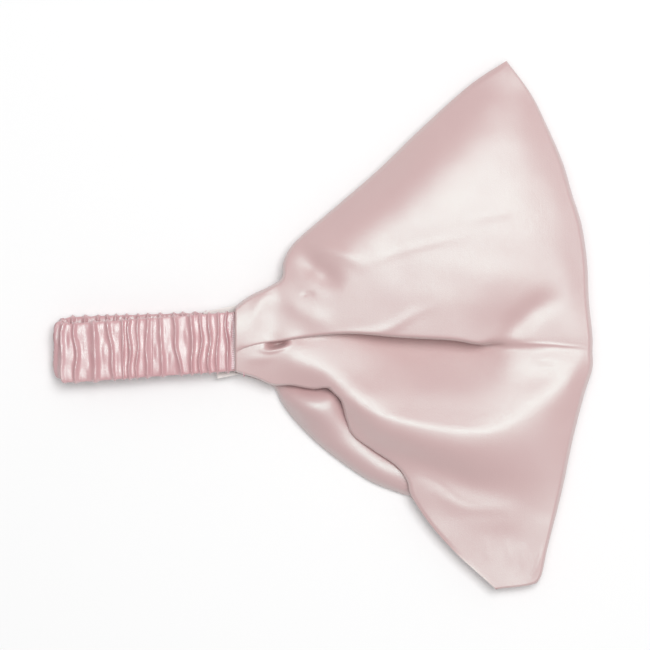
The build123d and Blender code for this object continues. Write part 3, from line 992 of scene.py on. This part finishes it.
class Surface:
    """A material being made: its Principled shader and the nodes that feed it."""

    def __init__(self, name):
        self.material = bpy.data.materials.new(name)
        self.material.use_nodes = True
        self.tree = self.material.node_tree
        self.shader = self.tree.nodes["Principled BSDF"]
        self.place = self.add("ShaderNodeTexCoord").outputs["Object"]

    def add(self, kind, **settings):
        made = self.tree.nodes.new(kind)
        for name, value in settings.items():
            setattr(made, name, value)
        return made

    def link(self, start, end):
        self.tree.links.new(start, end)

    def set(self, **values):
        """Sets the shader's own sockets; an underscore stands for a space."""
        for name, value in values.items():
            self.shader.inputs[name.replace("_", " ")].default_value = value

    def noise(self, scale, detail=3.0):
        """A cloud of noise, as a factor."""
        cloud = self.add("ShaderNodeTexNoise")
        cloud.inputs["Scale"].default_value = scale
        cloud.inputs["Detail"].default_value = detail
        self.link(self.place, cloud.inputs["Vector"])
        return cloud.outputs["Fac"]

    def bands(self, scale, direction, distortion=0.6):
        """Fine parallel bands, as a factor."""
        wave = self.add("ShaderNodeTexWave", wave_type="BANDS", bands_direction=direction)
        wave.inputs["Scale"].default_value = scale
        wave.inputs["Distortion"].default_value = distortion
        wave.inputs["Detail"].default_value = 1
        wave.inputs["Detail Scale"].default_value = 2
        self.link(self.place, wave.inputs["Vector"])
        return wave.outputs["Fac"]

    def combine(self, first, second, share):
        """One factor plus a share of another."""
        both = self.add("ShaderNodeMath", operation="ADD")
        self.link(first, both.inputs[0])
        scaled = self.add("ShaderNodeMath", operation="MULTIPLY")
        scaled.inputs[1].default_value = share
        self.link(second, scaled.inputs[0])
        self.link(scaled.outputs[0], both.inputs[1])
        return both.outputs[0]

    def colour(self, factor, low, high):
        mix = self.add("ShaderNodeMix", data_type="RGBA")
        mix.inputs[6].default_value = (*low, 1)
        mix.inputs[7].default_value = (*high, 1)
        self.link(factor, mix.inputs[0])
        self.link(mix.outputs[2], self.shader.inputs["Base Color"])

    def roughness(self, factor, low, high):
        spread = self.add("ShaderNodeMapRange")
        spread.inputs["To Min"].default_value = low
        spread.inputs["To Max"].default_value = high
        self.link(factor, spread.inputs["Value"])
        self.link(spread.outputs["Result"], self.shader.inputs["Roughness"])

    def bump(self, height, strength, distance):
        bump = self.add("ShaderNodeBump")
        bump.inputs["Strength"].default_value = strength
        bump.inputs["Distance"].default_value = distance
        self.link(height, bump.inputs["Height"])
        self.link(bump.outputs["Normal"], self.shader.inputs["Normal"])


SATIN_IOR = 2.35
SATIN_SPECULAR = 0.5
SATIN_SHINE = (0.62, 1.0, 0.94)  # tints the shine against the pink
SATIN_BUMP = (0.3, 0.00009)  # strength, and depth in metres


def satin(name, deep, light, low, high):
    """Satin: fine warp lines and crossing yarns, a broad white shine and a pink body colour."""
    s = Surface(name)
    s.colour(s.noise(38, 5), deep, light)
    s.roughness(s.noise(90, 2), low, high)
    warp = s.bands(900, "X")
    weft = s.bands(900, "Y")
    weave = s.combine(warp, weft, share=0.5)
    s.bump(s.combine(weave, s.noise(1900, 2), share=1.6), *SATIN_BUMP)
    s.set(Specular_IOR_Level=SATIN_SPECULAR, IOR=SATIN_IOR, Sheen_Weight=0.12, Sheen_Roughness=0.45)
    s.set(Specular_Tint=(*SATIN_SHINE, 1), Sheen_Tint=(1.0, 0.95, 0.95, 1))
    return s.material


def elastic_material():
    """Woven elastic: ribs along it and a soft sheen."""
    s = Surface("woven_elastic")
    ribs = s.bands(330, "Y", 0.2)
    s.colour(s.combine(ribs, s.noise(500), share=0.3), srgb(205, 172, 178), srgb(238, 222, 224))
    s.bump(ribs, 0.6, 0.0003)
    s.set(Roughness=0.75, Specular_IOR_Level=0.3, IOR=1.45, Sheen_Weight=0.25, Sheen_Roughness=0.5)
    return s.material


def thread_material():
    """Twisted sewing thread."""
    s = Surface("thread")
    twist = s.bands(1500, "DIAGONAL", 0.3)
    s.colour(twist, srgb(212, 160, 169), srgb(232, 190, 196))
    s.bump(twist, 0.5, 0.0001)
    s.set(Roughness=0.55, Specular_IOR_Level=0.4, IOR=1.5, Sheen_Weight=0.2, Sheen_Roughness=0.5)
    return s.material


def label_material():
    """Smooth ribbon with a fine weave, with nothing printed on it."""
    s = Surface("label_ribbon")
    warp = s.bands(1100, "X", 0.2)
    weft = s.bands(600, "Y", 0.2)
    weave = s.combine(warp, weft, share=0.6)
    s.colour(s.combine(weave, s.noise(60), share=0.5), srgb(226, 219, 216), srgb(242, 237, 233))
    s.bump(weave, 0.35, 0.0001)
    s.set(Roughness=0.5, Specular_IOR_Level=0.45, IOR=1.5, Sheen_Weight=0.15, Sheen_Roughness=0.5)
    return s.material


# ---- the stage

WORLD = 0.4  # the room's strength
# each lamp's name, place, size in metres and watts
LAMPS = [
    ("key", (0.4, 0.5, 1.9), (1.0, 0.85), 20.5),
    ("top", (0.0, 0.0, 2.0), (1.3, 1.3), 12.0),
]
FLOOR_GREY = 0.89


def table_top():
    """The plain pale floor, just under the object."""
    bpy.ops.mesh.primitive_plane_add(size=6, location=(0, 0, -0.0002))
    floor = bpy.context.object
    floor.name = "floor"
    s = Surface("table_top")
    s.colour(s.noise(3, 2), (FLOOR_GREY,) * 3, (FLOOR_GREY + 0.01,) * 3)
    s.set(Roughness=0.9, Specular_IOR_Level=0.1)
    floor.data.materials.append(s.material)


def lights():
    """A soft white room and two large lamps."""
    world = bpy.data.worlds.new("soft_room")
    bpy.context.scene.world = world
    world.use_nodes = True
    background = world.node_tree.nodes["Background"]
    background.inputs["Color"].default_value = (1, 1, 1, 1)
    background.inputs["Strength"].default_value = WORLD
    for name, at, size, power in LAMPS:
        lamp = bpy.data.lights.new(name, "AREA")
        lamp.shape = "RECTANGLE"
        lamp.size, lamp.size_y = size
        lamp.energy = power
        thing = bpy.data.objects.new(name, lamp)
        thing.location = at
        toward = Vector((0.02, 0, 0)) - Vector(at)
        thing.rotation_euler = toward.to_track_quat("-Z", "Y").to_euler()
        bpy.context.scene.collection.objects.link(thing)


CAMERA_HEIGHT = 1.5
CAMERA_X = 0.00045
VIEW_WIDTH = 0.2925
FOCUS_HEIGHT = 0.010


def camera():
    """A long lens straight above the middle of the headband."""
    lens = bpy.data.cameras.new("camera")
    lens.sensor_width = 36
    lens.lens = lens.sensor_width * (CAMERA_HEIGHT - FOCUS_HEIGHT) / VIEW_WIDTH
    thing = bpy.data.objects.new("camera", lens)
    thing.location = (CAMERA_X, 0, CAMERA_HEIGHT)
    bpy.context.scene.collection.objects.link(thing)
    bpy.context.scene.camera = thing


# ---- making it

camera()
table_top()
lights()
bpy.context.scene.view_settings.view_transform = "Standard"

front_material = satin("front_satin", srgb(209, 169, 170), srgb(214, 177, 176), 0.34, 0.4)
lining_material = satin("front_lining_satin", srgb(206, 168, 169), srgb(211, 174, 174), 0.35, 0.41)
casing_material = satin("casing_satin", srgb(207, 147, 154), srgb(218, 172, 175), 0.28, 0.34)
thread = thread_material()

front = make_front(front_material, lining_material)
way, points, split = make_casing(casing_material)
make_elastic(elastic_material(), way, split)
make_threads(front, thread, points, split)
make_label(label_material(), thread)
for stitching in ("join_stitching", "elastic_tack"):
    for half in ("upper", "lower"):
        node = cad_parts[f"{stitching}_{half}"]
        node.data.materials.clear()
        node.data.materials.append(thread)
